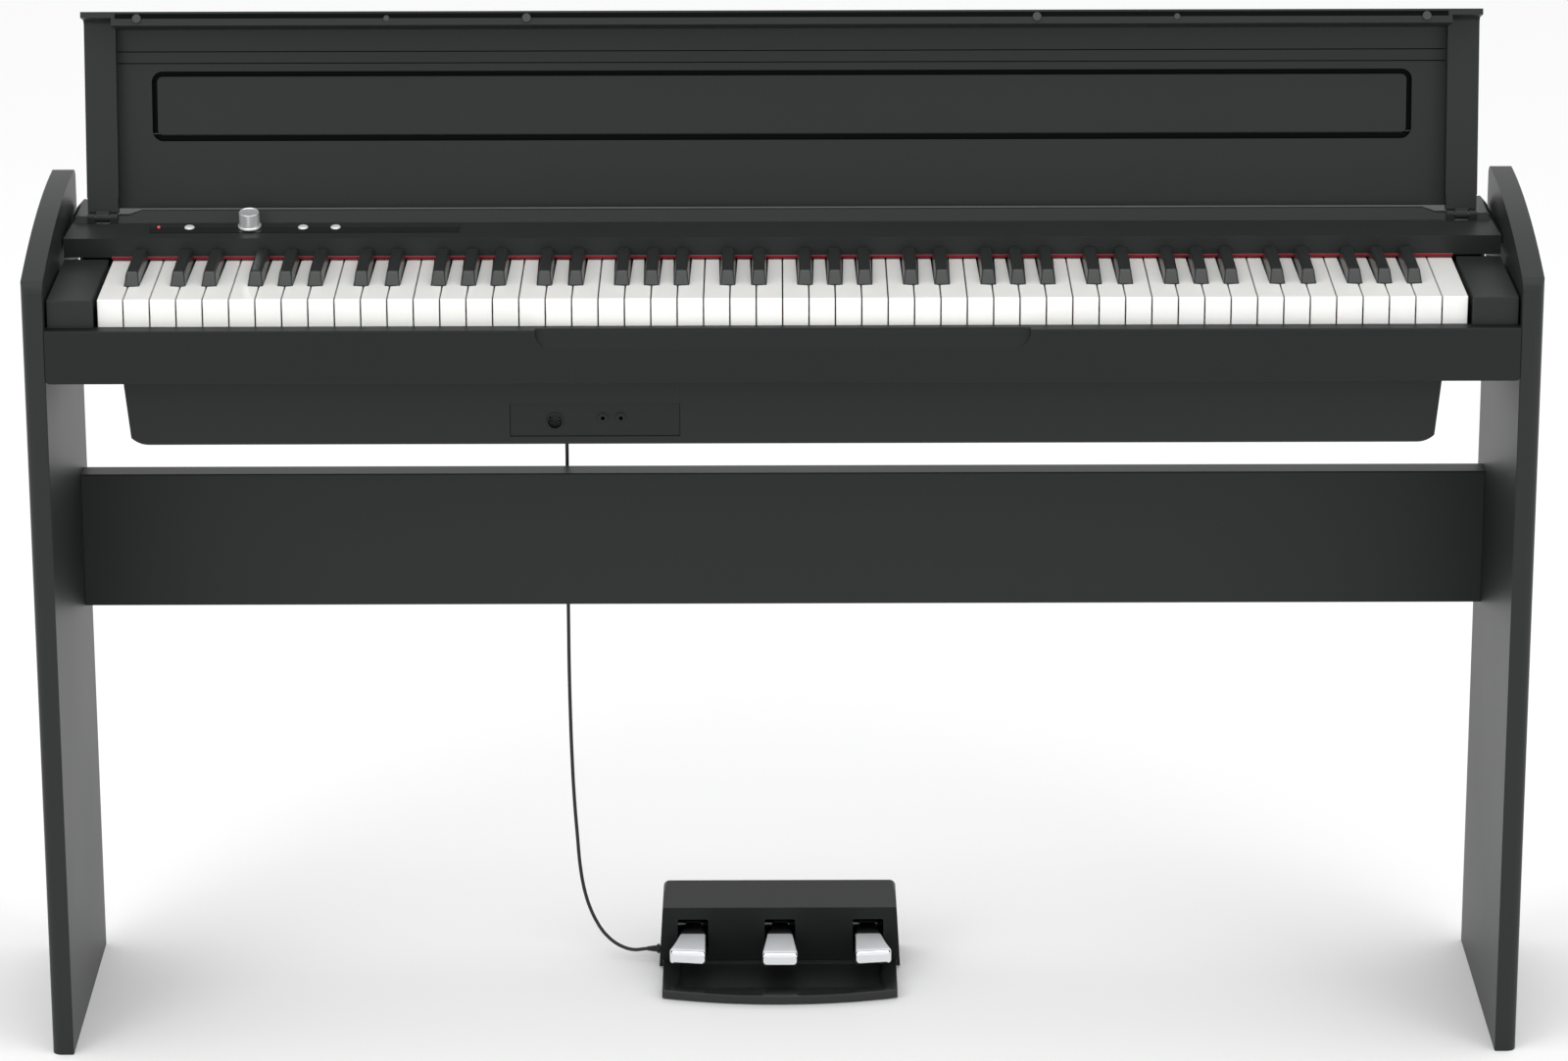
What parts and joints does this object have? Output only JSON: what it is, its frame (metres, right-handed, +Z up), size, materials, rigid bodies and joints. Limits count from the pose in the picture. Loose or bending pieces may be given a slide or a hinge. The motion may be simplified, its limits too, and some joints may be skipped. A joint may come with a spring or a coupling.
{
  "type": "digital piano on stand",
  "caption": "Slim digital piano on a two-panel stand with a folding key lid, a control panel, a fold-out music rest and a floor unit with three pedals.",
  "frame": {"origin": "on the floor, at the middle of the overall width and depth", "axes": "+Z up, X along the keyboard with the bass end at -X, the player at -Y"},
  "size_m": [1.362, 0.28, 0.9476],
  "materials": {
    "stand_panel": "satin charcoal foil over board",
    "bracket_steel": "blackened",
    "keybed_wood": "dark board",
    "case_rail": "satin charcoal",
    "panel_plastic": "fine-grained charcoal",
    "inset_gloss": "gloss black",
    "box_panel": "satin charcoal",
    "jack_plastic": "matte black",
    "speaker_cone": "black paper cone",
    "circuit_board": "green solder mask",
    "pot_metal": "bare steel",
    "lamp_red": "red lens",
    "frame_plastic": "grey moulding",
    "felt_red": "red felt",
    "ivory_white": "polished white",
    "ebony_black": "satin black",
    "lid_plastic": "satin charcoal",
    "strip_plastic": "matte black",
    "pad_rubber": "soft rubber",
    "hinge_black": "matte black",
    "pin_steel": "bright pin",
    "knob_silver": "satin silver",
    "button_silver": "silver",
    "base_black": "matte black",
    "cover_black": "fine-grained black",
    "pedal_chrome": "polished",
    "spring_steel": "spring wire",
    "cord_black": "flexible black"
  },
  "bodies": {
    "case": {"left_side_panel": "stand_panel", "right_side_panel": "stand_panel", "rear_stretcher": "stand_panel", "stand_brackets": "bracket_steel", "stand_bolts": "bracket_steel", "keybed_board": "keybed_wood", "front_rail": "case_rail", "key_blocks": "case_rail", "control_panel": "panel_plastic", "panel_inset": "inset_gloss", "rear_cover": "panel_plastic", "speaker_box": "box_panel", "jack_plate": "jack_plastic", "midi_socket": "jack_plastic", "headphone_sockets": "jack_plastic", "rear_sockets": "jack_plastic", "speakers": "speaker_cone", "main_board": "circuit_board", "panel_board": "circuit_board", "volume_pot": "pot_metal", "power_lamp": "lamp_red", "key_frame": "frame_plastic", "key_pivot_rod": "pot_metal", "key_sensor_board": "circuit_board", "key_felts": "felt_red", "lid_hinges": "hinge_black", "hinge_pins": "pin_steel", "pedal_base": "base_black", "pedal_cover": "cover_black", "pedal_axle": "pot_metal", "pedal_springs": "spring_steel", "pedal_switches": "circuit_board", "pedal_feet": "pad_rubber", "cord_gland": "cord_black", "pedal_cord": "cord_black", "pedal_plug": "cord_black"},
    "lid": {"lid_shell": "lid_plastic", "lid_edge_strip": "strip_plastic", "lid_pads": "pad_rubber", "music_rest_pins": "bracket_steel"},
    "music_rest": {"music_rest": "lid_plastic"},
    "volume_knob": {"volume_knob": "knob_silver"},
    "left_pedal": {"left_pedal": "pedal_chrome"},
    "middle_pedal": {"middle_pedal": "pedal_chrome"},
    "right_pedal": {"right_pedal": "pedal_chrome"},
    "keys_a": {"keys_a": "ivory_white"},
    "keys_a_sharp": {"keys_a_sharp": "ebony_black"},
    "keys_b": {"keys_b": "ivory_white"},
    "keys_c": {"keys_c": "ivory_white"},
    "keys_c_sharp": {"keys_c_sharp": "ebony_black"},
    "keys_d": {"keys_d": "ivory_white"},
    "keys_d_sharp": {"keys_d_sharp": "ebony_black"},
    "keys_e": {"keys_e": "ivory_white"},
    "keys_f": {"keys_f": "ivory_white"},
    "keys_f_sharp": {"keys_f_sharp": "ebony_black"},
    "keys_g": {"keys_g": "ivory_white"},
    "keys_g_sharp": {"keys_g_sharp": "ebony_black"},
    "power_button": {"power_button": "button_silver"},
    "sound_button": {"sound_button": "button_silver"},
    "song_button": {"song_button": "button_silver"}
  },
  "joints": [
    {"name": "lid_hinge", "type": "hinge", "parent": "case", "child": "lid", "pos_m": [0, 0.047, 0.7555], "axis": [1, 0, 0], "range_deg": [0, 108.2]},
    {"name": "music_rest_hinge", "type": "hinge", "parent": "lid", "child": "music_rest", "pos_m": [0, 0.07755, 0.82722], "axis": [-1, 0, 0], "range_deg": [-80, 0]},
    {"name": "volume_turn", "type": "hinge", "parent": "case", "child": "volume_knob", "pos_m": [-0.4898, 0.03152, 0.75687], "axis": [0, -0.1778, 0.9841], "range_deg": [-150, 150]},
    {"name": "power_press", "type": "slide", "parent": "case", "child": "power_button", "axis": [0, 0.1778, -0.9841], "range_m": [0, 0.0008], "stiffness_N_per_m": 300, "springref_m": -0.002},
    {"name": "sound_press", "type": "slide", "parent": "case", "child": "sound_button", "axis": [0, 0.1778, -0.9841], "range_m": [0, 0.0008], "stiffness_N_per_m": 300, "springref_m": -0.002},
    {"name": "song_press", "type": "slide", "parent": "case", "child": "song_button", "axis": [0, 0.1778, -0.9841], "range_m": [0, 0.0008], "stiffness_N_per_m": 300, "springref_m": -0.002},
    {"name": "keys_a_press", "type": "hinge", "parent": "case", "child": "keys_a", "pos_m": [0, 0.1, 0.712], "axis": [1, 0, 0], "range_deg": [0, 2.5], "stiffness_Nm_per_rad": 3, "springref_deg": -17.19},
    {"name": "keys_a_sharp_press", "type": "hinge", "parent": "case", "child": "keys_a_sharp", "pos_m": [0, 0.1, 0.712], "axis": [1, 0, 0], "range_deg": [0, 2.5], "stiffness_Nm_per_rad": 3, "springref_deg": -17.19},
    {"name": "keys_b_press", "type": "hinge", "parent": "case", "child": "keys_b", "pos_m": [0, 0.1, 0.712], "axis": [1, 0, 0], "range_deg": [0, 2.5], "stiffness_Nm_per_rad": 3, "springref_deg": -17.19},
    {"name": "keys_c_press", "type": "hinge", "parent": "case", "child": "keys_c", "pos_m": [0, 0.1, 0.712], "axis": [1, 0, 0], "range_deg": [0, 2.5], "stiffness_Nm_per_rad": 3, "springref_deg": -17.19},
    {"name": "keys_c_sharp_press", "type": "hinge", "parent": "case", "child": "keys_c_sharp", "pos_m": [0, 0.1, 0.712], "axis": [1, 0, 0], "range_deg": [0, 2.5], "stiffness_Nm_per_rad": 3, "springref_deg": -17.19},
    {"name": "keys_d_press", "type": "hinge", "parent": "case", "child": "keys_d", "pos_m": [0, 0.1, 0.712], "axis": [1, 0, 0], "range_deg": [0, 2.5], "stiffness_Nm_per_rad": 3, "springref_deg": -17.19},
    {"name": "keys_d_sharp_press", "type": "hinge", "parent": "case", "child": "keys_d_sharp", "pos_m": [0, 0.1, 0.712], "axis": [1, 0, 0], "range_deg": [0, 2.5], "stiffness_Nm_per_rad": 3, "springref_deg": -17.19},
    {"name": "keys_e_press", "type": "hinge", "parent": "case", "child": "keys_e", "pos_m": [0, 0.1, 0.712], "axis": [1, 0, 0], "range_deg": [0, 2.5], "stiffness_Nm_per_rad": 3, "springref_deg": -17.19},
    {"name": "keys_f_press", "type": "hinge", "parent": "case", "child": "keys_f", "pos_m": [0, 0.1, 0.712], "axis": [1, 0, 0], "range_deg": [0, 2.5], "stiffness_Nm_per_rad": 3, "springref_deg": -17.19},
    {"name": "keys_f_sharp_press", "type": "hinge", "parent": "case", "child": "keys_f_sharp", "pos_m": [0, 0.1, 0.712], "axis": [1, 0, 0], "range_deg": [0, 2.5], "stiffness_Nm_per_rad": 3, "springref_deg": -17.19},
    {"name": "keys_g_press", "type": "hinge", "parent": "case", "child": "keys_g", "pos_m": [0, 0.1, 0.712], "axis": [1, 0, 0], "range_deg": [0, 2.5], "stiffness_Nm_per_rad": 3, "springref_deg": -17.19},
    {"name": "keys_g_sharp_press", "type": "hinge", "parent": "case", "child": "keys_g_sharp", "pos_m": [0, 0.1, 0.712], "axis": [1, 0, 0], "range_deg": [0, 2.5], "stiffness_Nm_per_rad": 3, "springref_deg": -17.19},
    {"name": "left_pedal_press", "type": "hinge", "parent": "case", "child": "left_pedal", "pos_m": [0, 0.112, 0.03], "axis": [1, 0, 0], "range_deg": [0, 6], "stiffness_Nm_per_rad": 10, "springref_deg": -5.73},
    {"name": "middle_pedal_press", "type": "hinge", "parent": "case", "child": "middle_pedal", "pos_m": [0, 0.112, 0.03], "axis": [1, 0, 0], "range_deg": [0, 6], "stiffness_Nm_per_rad": 10, "springref_deg": -5.73},
    {"name": "right_pedal_press", "type": "hinge", "parent": "case", "child": "right_pedal", "pos_m": [0, 0.112, 0.03], "axis": [1, 0, 0], "range_deg": [0, 6], "stiffness_Nm_per_rad": 10, "springref_deg": -5.73}
  ]
}
